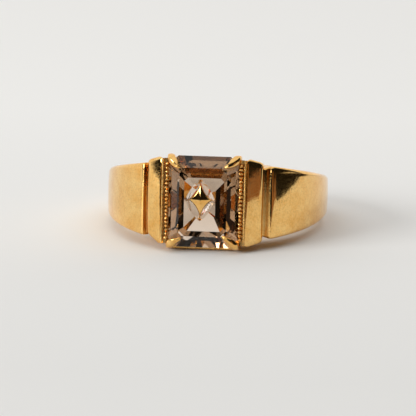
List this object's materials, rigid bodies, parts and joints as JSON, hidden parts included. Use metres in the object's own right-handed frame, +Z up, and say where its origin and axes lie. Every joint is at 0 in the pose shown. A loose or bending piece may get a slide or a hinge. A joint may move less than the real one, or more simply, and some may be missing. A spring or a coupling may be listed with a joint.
{
  "type": "smoky quartz ring",
  "caption": "Gold ring lying on its side, set with a step-cut smoky quartz between raised bars and beaded edges; a gold star is let into the stone's table.",
  "frame": {"origin": "on the table, under the middle of the ring's bounding box", "axes": "+Z up from the table; -Y the way the stone faces, which is 8 degrees above level; +X to the right of a viewer who faces the stone"},
  "size_m": [0.0198, 0.0234, 0.0085],
  "materials": {
    "polished_gold": "polished, with fine wear",
    "smoky_quartz": "polished facets, clear brown"
  },
  "bodies": {
    "root": {"shank": "polished_gold", "shoulder_bar_left": "polished_gold", "shoulder_bar_right": "polished_gold", "claw_setting": "polished_gold", "beaded_rail_left": "polished_gold", "beaded_rail_right": "polished_gold", "star_inlay": "polished_gold", "smoky_quartz": "smoky_quartz"}
  },
  "joints": []
}
